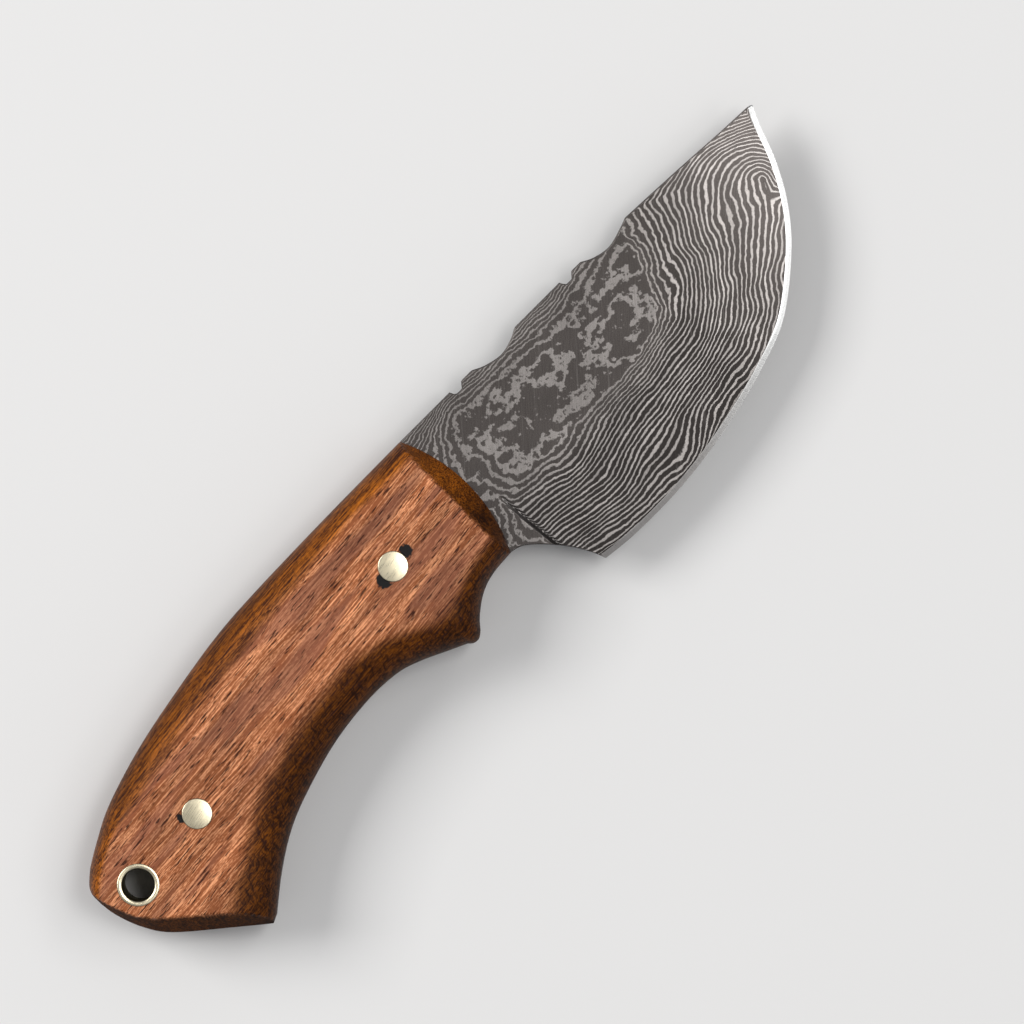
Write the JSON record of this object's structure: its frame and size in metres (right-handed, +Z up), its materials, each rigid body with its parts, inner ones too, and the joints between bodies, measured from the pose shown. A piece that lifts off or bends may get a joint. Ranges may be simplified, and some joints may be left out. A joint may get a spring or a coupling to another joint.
{
  "type": "fixed-blade knife",
  "caption": "Short full-tang skinning knife: wide layered-steel blade, two riveted wooden scales with a finger guard, and a lanyard tube at the butt.",
  "frame": {"origin": "under the middle of the knife's bounding box, on the surface it lies on", "axes": "+X along the back of the blade to the tip, +Y to the back (spine) side, +Z up out of the show side of the knife as it lies flat"},
  "size_m": [0.1999, 0.049, 0.0214],
  "materials": {
    "steel": "etched layered steel, satin",
    "wood": "oiled satin hardwood",
    "glue": "cured black glue",
    "brass": "polished"
  },
  "bodies": {
    "root": {"blade": "steel", "show_side_scale": "wood", "back_side_scale": "wood", "show_side_glue": "glue", "back_side_glue": "glue", "front_pin": "brass", "rear_pin": "brass", "lanyard_tube": "brass"}
  },
  "joints": []
}
